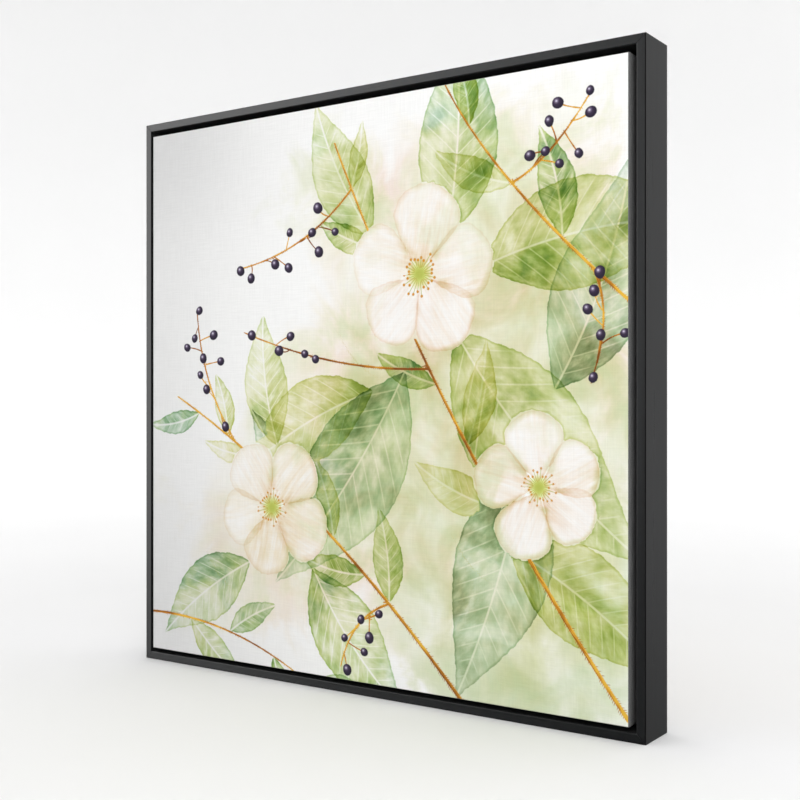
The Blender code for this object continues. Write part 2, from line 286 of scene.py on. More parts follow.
# Berries on stalks. A sprig leaves a stem at a part of its length, is pulled towards a
# point and ends at another, and carries some berries from a part of its own length on.
SPRIGS = [(0, 0.93, (-70, 150), (-168, 138), 9, 0.25), (2, 0.5, (225, 215), (266, 272), 8, 0.3),
          (1, 0.8, (-226, 10), (-232, 92), 9, 0.25), (1, 0.3, (-8, -236), (-22, -290), 7, 0.3),
          (2, 0.2, (292, 70), (268, 8), 6, 0.3), (0, 0.62, (-30, 20), (-158, 66), 6, 0.6)]
SPRIG_THICKNESS = 1.2
STALK_THICKNESS = 0.7
STALK_REACH, LAST_REACH = (13, 26), 4
BERRY_SIZE = (4.2, 6.2)
BERRY_SPACING = 6.0
BERRY_LENGTH = 1.12
TRIES = 12
berries, stalks = [], []
for trunk, leaves_at, pull, end, count, bare in SPRIGS:
    trunk = stems[trunk][0]
    points = bend_of(trunk[int(leaves_at * (len(trunk) - 1))], pull, end)
    stems.append((points, SPRIG_THICKNESS, STALK_THICKNESS))
    for k in range(count):
        spot = points[int((bare + (1 - bare) * k / (count - 1)) * (len(points) - 1))]
        for _ in range(TRIES):
            way = rng.uniform(0, 2 * math.pi)
            reach = rng.uniform(*STALK_REACH) if k < count - 1 else LAST_REACH
            tip = spot + reach * np.array((math.cos(way), math.sin(way)))
            size = rng.uniform(*BERRY_SIZE)
            if all(math.dist(tip, b[0]) > size + b[1] + BERRY_SPACING for b in berries):
                berries.append((tip, size, way))
                curve = bend_of(spot, (spot + tip) / 2 + rng.uniform(-4, 4, 2), tip, 8)
                stalks.append((curve, STALK_THICKNESS, STALK_THICKNESS))
                break


def lines(runs):
    """How far inside the nearest line each place is, its place along and off it, and the thickness."""
    core = np.full(over.shape, FAR)
    along, off, thick = (np.zeros(over.shape) for _ in range(3))
    for points, thick_start, thick_end in runs:
        travelled = 0.0
        for k in range(len(points) - 1):
            run = points[k + 1] - points[k]
            length = float(np.hypot(*run))
            right, rise = over - points[k][0], up - points[k][1]
            t = np.clip((right * run[0] + rise * run[1]) / length ** 2, 0, 1)
            gap = np.hypot(right - t * run[0], rise - t * run[1])
            side = np.sign(run[0] * rise - run[1] * right)
            here = thick_start + (thick_end - thick_start) * (k + t) / len(points)
            nearer = here - gap > core
            found = (here - gap, travelled + t * length, side * gap, here)
            for field, values in zip((core, along, off, thick), found):
                field[nearer] = values[nearer]
            travelled += length
    return core, along, off, thick


stem_core, *stem = lines(stems)
stalk_core, _, *stalk = lines(stalks)
for (x, z), reach, _, _ in BLOSSOMS:
    stem_core = np.minimum(stem_core, np.hypot(over - x, up - z) - STEM_STOP * reach)
stem_core = np.minimum(stem_core, -petal_edge - PETAL_MARGIN)

# Each place also knows how deep it lies in the nearest berry, and in the nearest heart of a
# blossom, and where it lies from the middle of that one.
berry = np.zeros(over.shape + (3,))
berry_edge = np.full(over.shape, FAR)
for (x, z), size, way in berries:
    right = ((over - x) * math.cos(way) + (up - z) * math.sin(way)) / (BERRY_LENGTH * size)
    rise = ((up - z) * math.cos(way) - (over - x) * math.sin(way)) / size
    edge = size * (1 - np.hypot(right, rise))
    nearer = edge > berry_edge
    berry_edge = np.maximum(edge, berry_edge)
    berry[nearer] = np.stack([(over - x) / size, (up - z) / size, 0 * over], -1)[nearer]

FAR_FROM_HEARTS = (99, 99, 1)
HEART_DRAWN_FOR = 80
FILAMENTS = 26
heart = np.ones(over.shape + (3,)) * FAR_FROM_HEARTS
heart_edge = np.full(over.shape, FAR)
for (x, z), reach, _, _ in BLOSSOMS:
    edge = HEART * reach - np.hypot(over - x, up - z)
    nearer = edge > heart_edge
    heart_edge = np.maximum(edge, heart_edge)
    scale = np.full(over.shape, reach / HEART_DRAWN_FOR)
    heart[nearer] = np.stack([over - x, up - z, scale], -1)[nearer]

# Wet washes behind the leaves, which mostly spare the blossoms: middle, half widths, and how much green,
# blush and grey. The grey is painted shade, which darkens the canvas towards its left side and left corners.
WASHES = [((150, -60), (190, 210), (0.55, 0.75, 0.0)), ((110, 170), (150, 110), (0.40, 0.85, 0.0)),
          ((-90, -160), (150, 120), (0.30, 0.85, 0.0)), ((250, -240), (150, 130), (0.80, 0.3, 0.0)),
          ((-340, -60), (150, 420), (0.0, 0.0, 0.42)), ((40, -20), (120, 90), (0.35, 0.80, 0.0)),
          ((-20, 240), (90, 50), (0.35, 0.3, 0.0)), ((270, 110), (90, 120), (0.5, 0.7, 0.0)),
          ((-300, 300), (150, 120), (0.0, 0.0, 0.62)), ((-320, -260), (180, 130), (0.0, 0.0, 0.40))]
SPARED = 0.55
SPARED_RIM = 8.0
wash_and_painted_shade = np.zeros(over.shape + (3,))
for (x, z), (wide, high), amounts in WASHES:
    falloff = np.exp(-((over - x) / wide) ** 2 - ((up - z) / high) ** 2)
    wash_and_painted_shade = 1 - (1 - wash_and_painted_shade) * (1 - falloff[..., None] * np.array(amounts))
wash_and_painted_shade *= 1 - SPARED * np.clip(petal_edge / SPARED_RIM, 0, 1)[..., None]

# The cloth is one closed shell: its front, then rings round the sides, back and reverse.
# A ring is its half side, its depth, how far its edge wanders, and the finish up to it.
PRINT, BORDER, PRIMER, REVERSE = range(4)
ROUNDED_RINGS = 7
CUT_WANDER = 0.0004
front = np.stack([over / 1000, np.full(over.shape, cloth_low[1]), up / 1000 + middle_z], -1).reshape(-1, 3)
row = CELLS + 1
grid = np.arange(row * row).reshape(row, row)
rim = np.concatenate([grid[0, :-1], grid[:-1, -1], grid[-1, :0:-1], grid[:0:-1, 0]])
lap = np.linspace(0, 2 * math.pi, len(rim), endpoint=False)
waves = (5, 9, 17, 31, 58, 97)
wander = sum(CUT_WANDER / (1 + k / 9) * np.sin(k * lap + rng.uniform(0, 7)) for k in waves)
quarter = np.radians((30, 60, 90))
inner_half, inner_back = half - CLOTH_THICKNESS, cloth_high[1] - CLOTH_THICKNESS
rings = [(flat_half + EDGE_RADIUS * math.sin(a), cloth_low[1] + EDGE_RADIUS * (1 - math.cos(a)), 0, finish)
         for a, finish in zip(quarter, (PRINT, BORDER, BORDER))]
rings += [(half, cloth_high[1] - EDGE_RADIUS, 0, BORDER)]
rings += [(flat_half + EDGE_RADIUS * math.cos(a), cloth_high[1] - EDGE_RADIUS * (1 - math.sin(a)), 0, BORDER)
          for a in quarter]
cut_half = half - FOLD_WIDTH
rings += [(half - BORDER_ON_BACK, cloth_high[1], 0, BORDER), (cut_half, cloth_high[1], wander, PRIMER),
          (cut_half, inner_back, wander, REVERSE), (inner_half, inner_back, 0, REVERSE),
          (inner_half, cloth_low[1] + CLOTH_THICKNESS, 0, REVERSE)]
points, faces, finishes = [front], [], [PRINT] * CELLS * CELLS
faces += np.stack([grid[:-1, :-1], grid[:-1, 1:], grid[1:, 1:], grid[1:, :-1]], -1).reshape(-1, 4).tolist()
last = rim
for k, (size, depth, wandering, finish) in enumerate(rings):
    share = (size + wandering) / flat_half * np.ones(len(rim))
    ring = front[rim] * np.stack([share, 0 * share, share], -1)
    ring[:, 2] += middle_z * (1 - share)
    ring[:, 1] = depth
    points.append(ring)
    here = np.arange(len(rim)) + row * row + k * len(rim)
    faces += np.stack([last, here, np.roll(here, -1), np.roll(last, -1)], -1).tolist()
    finishes += [finish] * len(rim)
    last = here
points.append([[0.0, rings[-1][1], middle_z]])
centre = row * row + len(rings) * len(rim)
faces += [(a, centre, b) for a, b in zip(last.tolist(), np.roll(last, -1).tolist())]
finishes += [REVERSE] * len(rim)
cloth_mesh = bpy.data.meshes.new("stretched_canvas")
cloth_mesh.from_pydata(np.concatenate(points).tolist(), [], faces)
first_round, last_round = CELLS * CELLS, CELLS * CELLS + ROUNDED_RINGS * len(rim)
cloth_mesh.polygons.foreach_set("use_smooth", [first_round <= k < last_round for k in range(len(faces))])
fields = {"wash_and_painted_shade": wash_and_painted_shade, "berry": berry, "heart": heart,
          "edges": np.stack([stem_core, berry_edge, heart_edge], -1),
          "stem": np.stack(stem, -1), "stalk": np.stack([stalk_core, *stalk], -1)}
for k, glaze in enumerate(glazes):
    fields[f"place_{k}"], fields[f"paint_{k}"] = glaze["place"], glaze["paint"]
for name, values in fields.items():
    flat = values.reshape(-1, 3)
    held = np.concatenate([flat, np.tile(flat[rim], (len(rings), 1)), flat[:1]])
    cloth_mesh.attributes.new(name, "FLOAT_VECTOR", "POINT").data.foreach_set("vector", held.ravel())


def new_object(name, data):
    """Puts an object in the scene."""
    made = bpy.data.objects.new(name, data)
    scene.collection.objects.link(made)
    return made


cloth = new_object("stretched_canvas", cloth_mesh)
SOFT = {"interpolation_type": "SMOOTHSTEP"}


def new_group(name, kind, inputs, output):
    """A node group with its sockets, and what it is given."""
    group = bpy.data.node_groups.new(name, kind)
    for label, value in inputs.items():
        group.interface.new_socket(label, in_out="INPUT", socket_type="NodeSocket" + value)
    group.interface.new_socket(output, in_out="OUTPUT", socket_type="NodeSocket" + output)
    return group, group.nodes.new("NodeGroupInput").outputs


def lay(tree, ground, tint, amount):
    """Lays clear paint over a ground. The more of it there is, the deeper its tint."""
    veil = add(tree, "ShaderNodeGamma", [tint, amount])
    return add(tree, "ShaderNodeMix", [1.0, ground, veil], data_type="RGBA", blend_type="MULTIPLY")


def glaze_group():
    """A group that lays one glaze of strokes over a ground, as a watercolour print shows it.

    Paint gathers at a stroke's rim, thins in streaks and clouds, and spares its veins. Distances
    are in millimetres.
    """
    inputs = {"Ground": "Color", "Place": "Vector", "Paint": "Vector", "Wobble": "Float",
              "Cloud": "Float", "Offset": "Float"}
    group, given = new_group("watercolour glaze", "ShaderNodeTree", inputs, "Color")
    place = add(group, "ShaderNodeSeparateXYZ", [given["Place"]]).node.outputs
    paint = add(group, "ShaderNodeSeparateXYZ", [given["Paint"]]).node.outputs
    edge = add(group, "ShaderNodeMath", [place[0], given["Wobble"]], operation="ADD")
    inside = add(group, "ShaderNodeMapRange", [edge, -0.4, 0.5], **SOFT)
    rim = add(group, "ShaderNodeMapRange", [edge, 0.3, 2.8, 1.0, 0.0], **SOFT)
    leafy = add(group, "ShaderNodeMapRange", [paint[0], 0.14, 0.24])
    off_rib = add(group, "ShaderNodeMath", [place[2]], operation="ABSOLUTE")
    rib = add(group, "ShaderNodeMapRange", [off_rib, 0.5, 1.7, 0.85, 0.0], **SOFT)
    off_vein = add(group, "ShaderNodeMath", [place[1], 0.5], operation="PINGPONG")
    vein = add(group, "ShaderNodeMapRange", [off_vein, 0.01, 0.09, 0.6, 0.0], **SOFT)
    fade = add(group, "ShaderNodeMapRange", [edge, 1.0, 9.0])
    vein = add(group, "ShaderNodeMath", [vein, fade], operation="MULTIPLY")
    vein = add(group, "ShaderNodeMath", [vein, rib], operation="MAXIMUM")
    vein = add(group, "ShaderNodeMath", [vein, leafy], operation="MULTIPLY")
    tones = add(group, "ShaderNodeMath", [paint[0], 40.0, given["Offset"]], operation="MULTIPLY_ADD")
    brush = add(group, "ShaderNodeCombineXYZ", [place[1], paint[2], tones])
    streak = add(group, "ShaderNodeTexNoise", [brush, 1.3, 3.0, 0.55])
    streak = add(group, "ShaderNodeMapRange", [streak, 0.32, 0.68, 0.35, 1.35])
    half_dark = add(group, "ShaderNodeMapRange", [place[2], -0.9, 0.9, 1.2, 0.8], **SOFT)
    cloud = add(group, "ShaderNodeMapRange", [given["Cloud"], 0.34, 0.66, 0.45, 1.35])
    load = paint[1]
    for amount in (streak, half_dark, cloud):
        load = add(group, "ShaderNodeMath", [load, amount], operation="MULTIPLY")
    gathered = add(group, "ShaderNodeMath", [rim, paint[1]], operation="MULTIPLY")
    load = add(group, "ShaderNodeMath", [gathered, 0.6, load], operation="MULTIPLY_ADD")
    spared = add(group, "ShaderNodeMath", [1.0, vein], operation="SUBTRACT")
    for amount in (spared, inside):
        load = add(group, "ShaderNodeMath", [load, amount], operation="MULTIPLY")
    shift = add(group, "ShaderNodeMath", [given["Cloud"], 0.5], operation="SUBTRACT")
    hue = add(group, "ShaderNodeMath", [shift, 0.9, paint[0]], operation="MULTIPLY_ADD")
    low_hue = add(group, "ShaderNodeMath", [shift, 0.2, paint[0]], operation="MULTIPLY_ADD")
    hue = add(group, "ShaderNodeMix", [leafy, low_hue, hue], data_type="FLOAT")
    # From blush through cream and yellow-green to blue-green. A ramp's first two stops are its ends.
    stops = [(0.0, "#f3dfd2"), (1.0, "#9fb096"), (0.14, "#f4e8cf"), (0.32, "#e4e3a8"), (0.5, "#cfd790"),
             (0.66, "#b0c87c"), (0.82, "#9cc09a")]
    pigment = add(group, "ShaderNodeValToRGB", [hue], stops=stops)
    feed(group.nodes.new("NodeGroupOutput"), [lay(group, given["Ground"], pigment, load)])
    return group


# Sizes of the paint's wobbly rims, clouds and pools, and of a slub. Cotton threads are 0.6 mm
# apart, but are drawn as wider slubs, so that they show.
WOBBLE = 0.009
CLOUD = 0.060
BLOOM = 0.085
SLUB = 0.0013


def weave(tree, place, squeeze):
    """Height of cotton threads that run both ways: noise, squeezed along each thread into slubs."""
    threads = 0.0
    for scale in ((1.0, 1.0, squeeze), (squeeze, 1.0, 1.0)):
        drawn = add(tree, "ShaderNodeMapping", {"Vector": place, "Scale": scale})
        drawn = add(tree, "ShaderNodeTexNoise", [drawn, 1 / SLUB, 1.0])
        threads = add(tree, "ShaderNodeMath", [threads, drawn], operation="ADD")
    return threads


def hairs(tree, place, kind, salt):
    """One hair at each whole number of a place: how far off the nearest one is, and its chance."""
    off_line = add(tree, "ShaderNodeMath", [place, 0.5], operation="PINGPONG")
    nearest = add(tree, "ShaderNodeMath", [place], operation="ROUND")
    seed = add(tree, "ShaderNodeMath", [kind, salt, nearest], operation="MULTIPLY_ADD")
    return off_line, add(tree, "ShaderNodeTexWhiteNoise", [seed], noise_dimensions="1D")


def printed_canvas():
    """Cotton canvas with a matte print: no gloss, a faint weave and colour that pools like wet paint."""
    made, shader, tree, place = new_finish("primed cotton canvas, matte watercolour print")
    shake = add(tree, "ShaderNodeTexNoise", [place, 1 / WOBBLE, 3.0])
    shake = add(tree, "ShaderNodeMath", [shake, 0.5], operation="SUBTRACT")
    wobble = add(tree, "ShaderNodeMath", [shake, 5.0], operation="MULTIPLY")
    fine = add(tree, "ShaderNodeMath", [shake, 1.6], operation="MULTIPLY")
    cloud = add(tree, "ShaderNodeTexNoise", [place, 1 / CLOUD, 4.0, 0.5, 2.0, 0.5])
    bloom = add(tree, "ShaderNodeTexNoise", [place, 1 / BLOOM, 5.0, 0.55, 2.0, 0.8])
    drift = add(tree, "ShaderNodeMath", [bloom, 0.5], operation="SUBTRACT")
    read = {}
    for name in ("wash_and_painted_shade", "edges", "stem", "stalk", "berry", "heart"):
        field = add(tree, "ShaderNodeAttribute", out="Vector", attribute_name=name)
        read[name] = add(tree, "ShaderNodeSeparateXYZ", [field]).node.outputs
    stem_core, berry_edge, heart_edge = read["edges"]

    # Wet washes: thin colour over white primer, with the soft hard-sided pools of a wet sheet.
    # The grey wash is painted shade: the ground is laid darker towards the left.
    ground = lay(tree, colour("#ececeb"), colour("#cfcfd0"), read["wash_and_painted_shade"][2])
    hues = [[(0.36, "#dbe2ad"), (0.64, "#c5dbb6")], [(0.36, "#f3dfd2"), (0.64, "#f2eac8")]]
    for amount, stops in zip(read["wash_and_painted_shade"], hues):
        pooled = add(tree, "ShaderNodeMath", [drift, 1.5, amount], operation="MULTIPLY_ADD")
        body = add(tree, "ShaderNodeMapRange", [pooled, 0.22, 0.52], **SOFT)
        body = add(tree, "ShaderNodeMath", [body, amount], operation="MULTIPLY")
        thin = add(tree, "ShaderNodeMapRange", [cloud, 0.34, 0.66, 0.35, 1.25])
        body = add(tree, "ShaderNodeMath", [body, thin], operation="MULTIPLY")
        tint = add(tree, "ShaderNodeValToRGB", [bloom], stops=stops)
        ground = lay(tree, ground, tint, body)

    group = glaze_group()
    for k in reversed(range(GLAZES)):
        where = add(tree, "ShaderNodeAttribute", out="Vector", attribute_name=f"place_{k}")
        paint = add(tree, "ShaderNodeAttribute", out="Vector", attribute_name=f"paint_{k}")
        ground = add(tree, "ShaderNodeGroup", {"Ground": ground, "Place": where, "Paint": paint,
                     "Wobble": wobble, "Cloud": cloud, "Offset": 7.0 * k}, node_tree=group)

    # Blossom hearts: a green-yellow glow, fine filaments and a golden anther on each.
    right, rise, scale = read["heart"]
    gap = add(tree, "ShaderNodeCombineXYZ", [right, rise, 0.0])
    gap = add(tree, "ShaderNodeVectorMath", [gap], out="Value", operation="LENGTH")
    gap = add(tree, "ShaderNodeMath", [gap, scale], operation="DIVIDE")
    glow = add(tree, "ShaderNodeMapRange", [gap, 2.0, 17.0, 0.95, 0.0], **SOFT)
    ground = lay(tree, ground, colour("#cfd86a"), glow)
    way = add(tree, "ShaderNodeMath", [rise, right], operation="ARCTAN2")
    way = add(tree, "ShaderNodeMath", [way, FILAMENTS / (2 * math.pi)], operation="MULTIPLY")
    off_line, chance = hairs(tree, way, scale, 977.0)
    off_line = add(tree, "ShaderNodeMath", [off_line, gap], operation="MULTIPLY")
    off_line = add(tree, "ShaderNodeMath", [off_line, 2 * math.pi / FILAMENTS], operation="MULTIPLY")
    reach = add(tree, "ShaderNodeMath", [chance, 11.0, 12.0], operation="MULTIPLY_ADD")
    left_over = add(tree, "ShaderNodeMath", [reach, gap], operation="SUBTRACT")
    thread = add(tree, "ShaderNodeMapRange", [off_line, 0.25, 0.6, 0.8, 0.0])
    short = add(tree, "ShaderNodeMapRange", [left_over, -0.4, 0.4])
    thread = add(tree, "ShaderNodeMath", [thread, short], operation="MULTIPLY")
    ground = add(tree, "ShaderNodeMix", [thread, ground, colour("#a9b04e")], data_type="RGBA")
    knob = add(tree, "ShaderNodeCombineXYZ", [left_over, off_line, 0.0])
    knob = add(tree, "ShaderNodeVectorMath", [knob], out="Value", operation="LENGTH")
    knob = add(tree, "ShaderNodeMapRange", [knob, 1.1, 1.8, 1.0, 0.0])
    ground = add(tree, "ShaderNodeMix", [knob, ground, colour("#c58a1e")], data_type="RGBA")

    # Stems: golden brown, with short bristles. A bristle is drawn 0.7 mm wide, so that it shows.
    # Berry stalks are bare. Lines this thin are drawn from their signed distance.
    travelled, off_middle, thick = read["stem"]
    bodies = []
    for near, off, width in ((stem_core, off_middle, thick), read["stalk"]):
        near = add(tree, "ShaderNodeMapRange", [near, -1.9, -1.5])
        off = add(tree, "ShaderNodeMath", [off], operation="ABSOLUTE")
        core = add(tree, "ShaderNodeMath", [width, off], operation="SUBTRACT")
        rough = add(tree, "ShaderNodeMath", [shake, 1.2, core], operation="MULTIPLY_ADD")
        body = add(tree, "ShaderNodeMapRange", [rough, -0.35, 0.35], **SOFT)
        bodies.append(add(tree, "ShaderNodeMath", [body, near], operation="MULTIPLY"))
    body = add(tree, "ShaderNodeMath", bodies, operation="MAXIMUM")
    leaning = add(tree, "ShaderNodeMath", [stem_core, -0.7, travelled], operation="MULTIPLY_ADD")
    leaning = add(tree, "ShaderNodeMath", [leaning, 0.42], operation="MULTIPLY")
    side = add(tree, "ShaderNodeMath", [off_middle], operation="SIGN")
    off_line, chance = hairs(tree, leaning, side, 531.0)
    bristle = add(tree, "ShaderNodeMapRange", [off_line, 0.10, 0.26, 0.9, 0.0])
    reach = add(tree, "ShaderNodeMath", [thick, 1.3], operation="MULTIPLY")
    reach = add(tree, "ShaderNodeMath", [chance, reach, 0.3], operation="MULTIPLY_ADD")
    reach = add(tree, "ShaderNodeMath", [reach, stem_core], operation="ADD")
    short = add(tree, "ShaderNodeMapRange", [reach, 0.0, 1.2])
    bristle = add(tree, "ShaderNodeMath", [bristle, short], operation="MULTIPLY")
    tint = add(tree, "ShaderNodeValToRGB", [chance], stops=[(0.2, "#e3a92b"), (0.9, "#a4641a")])
    ground = add(tree, "ShaderNodeMix", [bristle, ground, tint], data_type="RGBA")
    sheen = add(tree, "ShaderNodeMapRange", [off_middle, -1.6, 1.6, -0.07, 0.07])
    sheen = add(tree, "ShaderNodeMath", [cloud, sheen], operation="ADD")
    drawn = add(tree, "ShaderNodeMath", [travelled, 0.09], operation="MULTIPLY")
    drawn = add(tree, "ShaderNodeCombineXYZ", [drawn, off_middle, 0.0])
    streak = add(tree, "ShaderNodeTexNoise", [drawn, 1.1, 3.0])
    streak = add(tree, "ShaderNodeMapRange", [streak, 0.3, 0.7, -0.09, 0.09])
    sheen = add(tree, "ShaderNodeMath", [sheen, streak], operation="ADD")
    stops = [(0.40, "#dcae3c"), (0.64, "#7c4416"), (0.5, "#b9791f")]
    tint = add(tree, "ShaderNodeValToRGB", [sheen], stops=stops)
    ground = add(tree, "ShaderNodeMix", [body, ground, tint], data_type="RGBA")

    # Berries: nearly black purple, with a pale lavender light towards the upper left.
    right, rise, _ = read["berry"]
    spot = add(tree, "ShaderNodeCombineXYZ", [right, rise, 0.0])
    lit = add(tree, "ShaderNodeVectorMath", [spot, (-0.28, 0.34, 0.0)], out="Value", operation="DISTANCE")
    stops = [(0.06, "#c9c2d6"), (1.0, "#2c2536"), (0.28, "#6d6178"), (0.55, "#3d3147")]
    tint = add(tree, "ShaderNodeValToRGB", [lit], stops=stops)
    edge = add(tree, "ShaderNodeMath", [fine, berry_edge], operation="ADD")
    body = add(tree, "ShaderNodeMapRange", [edge, -0.4, 0.5], **SOFT)
    ground = add(tree, "ShaderNodeMix", [body, ground, tint], data_type="RGBA")

    threads = weave(tree, place, 0.05)
    shade = add(tree, "ShaderNodeMapRange", [threads, 0.75, 1.25, 0.965, 1.02])
    ground = lay(tree, ground, shade, 1.0)
    bump = add(tree, "ShaderNodeBump", {"Strength": 0.5, "Distance": 0.0002, "Height": threads})
    feed(shader, {"Base Color": ground, "Roughness": 0.85, "Specular IOR Level": 0.25, "Normal": bump})
    return made


def woven(name, light, dark, roughness):
    """Plain canvas in one colour: matte, with its threads showing as a fine cross grain."""
    made, shader, tree, place = new_finish(name)
    threads = weave(tree, place, 0.06)
    # Its colour follows the threads' height: darker in the weave's low places, as painted shade, and lighter
    # on the threads.
    tint = add(tree, "ShaderNodeMapRange", [threads, 0.75, 1.25])
    tint = add(tree, "ShaderNodeValToRGB", [tint], stops=[(0.0, dark), (1.0, light)])
    bump = add(tree, "ShaderNodeBump", {"Strength": 0.7, "Distance": 0.0003, "Height": threads})
    feed(shader, {"Base Color": tint, "Roughness": roughness, "Normal": bump})
    return made


border = woven("cotton canvas, matte grey-black printed border", "#767676", "#626262", 0.8)
primed = woven("cotton canvas, white acrylic primer", "#f0efea", "#e2e0d8", 0.8)
reverse = woven("cotton canvas, raw reverse", "#e6ddc8", "#d5c9ae", 0.9)
dress(cloth, printed_canvas(), border, primed, reverse)
cloth_mesh.polygons.foreach_set("material_index", finishes)

# Folded corners
# At each corner of the bars the surplus cloth is tucked into a flat pleat, which lies on
# the strip along the top or bottom. It is the same primed canvas, doubled and pressed.
# Each corner of a pleat is its distances from the cloth's sides: along the strip, across it.
PLEAT = [(0.0183, 0.0183), (0.0599, 0.0183), (0.0477, 0.0316), (0.0316, 0.0316)]
PLEAT_THICKNESS = 0.0006
PLEAT_EDGE_RADIUS = 0.00025
PLEAT_SUNK = 0.0001


def thicken(plates, flat, offset):
    """Gives flat faces a thickness, and returns the corners of their new sides."""
    raised = bmesh.ops.extrude_face_region(plates, geom=flat, use_keep_orig=True)["geom"]
    lifted = [corner for corner in raised if isinstance(corner, bmesh.types.BMVert)]
    bmesh.ops.translate(plates, vec=offset, verts=lifted)
    return lifted


def object_of(name, plates):
    """Turns what was built in a bmesh into an object, with its faces outward."""
    bmesh.ops.recalc_face_normals(plates, faces=plates.faces)
    made = new_object(name, bpy.data.meshes.new(name))
    plates.to_mesh(made.data)
    plates.free()
    return made


pleats = bmesh.new()
for right in (1, -1):
    for above in (1, -1):
        corners = [pleats.verts.new((right * (half - aside), cloth_high[1] - PLEAT_SUNK,
                                     middle_z + above * (half - across))) for aside, across in PLEAT]
        pleats.faces.new(corners)
lifted = set(thicken(pleats, list(pleats.faces), (0.0, PLEAT_THICKNESS, 0.0)))
brim = [edge for edge in pleats.edges if lifted.issuperset(edge.verts)]
bmesh.ops.bevel(pleats, geom=brim, offset=PLEAT_EDGE_RADIUS, segments=2, affect="EDGES")
corner_folds = object_of("corner_folds", pleats)
dress(corner_folds, primed)

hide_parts("canvas")
for piece in (cloth, corner_folds):
    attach(piece, "root")

# Staples
# Galvanised wire staples that hold the folded cloth to the backs of the bars, put in by
# hand with a gun, one every few centimetres, so none of them is quite straight.
STAPLE_INSET = 0.0254
STAPLE_SPACING = 0.047
CROWN = 0.0105
WIRE = 0.0009
LEG = 0.0012
CROOKED = 0.16
PATCHES = 0.004


def staple_row():
    """Geometry Nodes that set bent wire staples along a square path on the back of the cloth."""
    sizes = ("Path side", "Depth", "Height", "Spacing", "Crown", "Wire", "Leg", "Crooked")
    inputs = {**dict.fromkeys(sizes, "Float"), "Seed": "Int", "Finish": "Material"}
    tree, given = new_group("staples along the fold", "GeometryNodeTree", inputs, "Geometry")

    # Four points bend the wire: the end of a leg, the ends of the crown, the other leg's end.
    count = add(tree, "GeometryNodeInputIndex")
    off_middle = add(tree, "ShaderNodeMath", [count, 1.5], operation="SUBTRACT")
    half_crown = add(tree, "ShaderNodeMath", [given["Crown"], 0.5], operation="MULTIPLY")
    side = add(tree, "ShaderNodeMath", [off_middle], operation="SIGN")
    over_x = add(tree, "ShaderNodeMath", [side, half_crown], operation="MULTIPLY")
    end = add(tree, "ShaderNodeMath", [off_middle], operation="ABSOLUTE")
    end = add(tree, "ShaderNodeMath", [end, 1.0], operation="GREATER_THAN")
    drop = add(tree, "ShaderNodeMath", [given["Leg"], given["Wire"]], operation="ADD")
    drop = add(tree, "ShaderNodeMath", [end, drop], operation="MULTIPLY")
    rise = add(tree, "ShaderNodeMath", [given["Wire"], 0.4], operation="MULTIPLY")
    rise = add(tree, "ShaderNodeMath", [rise, drop], operation="SUBTRACT")
    corner = add(tree, "ShaderNodeCombineXYZ", [over_x, rise, 0.0])
    line = add(tree, "GeometryNodeCurvePrimitiveLine")
    line = add(tree, "GeometryNodeResampleCurve", {"Curve": line, "Count": 4})
    line = add(tree, "GeometryNodeSetPosition", {"Geometry": line, "Position": corner})
    bend = add(tree, "ShaderNodeMath", [given["Wire"], 0.8], operation="MULTIPLY")
    line = add(tree, "GeometryNodeFilletCurve", {"Curve": line, "Count": 3, "Radius": bend}, mode="POLY")
    flat_wire = add(tree, "ShaderNodeMath", [given["Wire"], 0.7], operation="MULTIPLY")
    section = add(tree, "GeometryNodeCurvePrimitiveQuadrilateral",
                  {"Width": flat_wire, "Height": given["Wire"]})
    staple = add(tree, "GeometryNodeCurveToMesh",
                 {"Curve": line, "Profile Curve": section, "Fill Caps": True})
    path = add(tree, "GeometryNodeCurvePrimitiveQuadrilateral",
               {"Width": given["Path side"], "Height": given["Path side"]})
    lift = add(tree, "ShaderNodeCombineXYZ", [0.0, given["Depth"], given["Height"]])
    path = add(tree, "GeometryNodeTransform", {"Geometry": path, "Translation": lift,
               "Rotation": (math.radians(90), 0.0, 0.0)})
    path = add(tree, "GeometryNodeResampleCurve", {"Curve": path, "Length": given["Spacing"]}, mode="LENGTH")
    spots = add(tree, "GeometryNodeCurveToPoints", {"Curve": path}, mode="EVALUATED").node.outputs
    facing = add(tree, "FunctionNodeAlignRotationToVector", {"Vector": spots["Tangent"]},
                 axis="X", pivot_axis="Y")
    least = add(tree, "ShaderNodeMath", [given["Crooked"], -1.0], operation="MULTIPLY")
    askew = add(tree, "FunctionNodeRandomValue", [least, given["Crooked"], 0, given["Seed"]],
                data_type="FLOAT")
    askew = add(tree, "ShaderNodeCombineXYZ", [0.0, askew, 0.0])
    askew = add(tree, "FunctionNodeEulerToRotation", [askew])
    facing = add(tree, "FunctionNodeRotateRotation", [facing, askew], rotation_space="LOCAL")
    row = add(tree, "GeometryNodeInstanceOnPoints",
              {"Points": spots["Points"], "Instance": staple, "Rotation": facing})
    row = add(tree, "GeometryNodeRealizeInstances", {"Geometry": row})
    row = add(tree, "GeometryNodeSetMaterial", {"Geometry": row, "Material": given["Finish"]})
    feed(tree.nodes.new("NodeGroupOutput"), {"Geometry": row})
    return tree


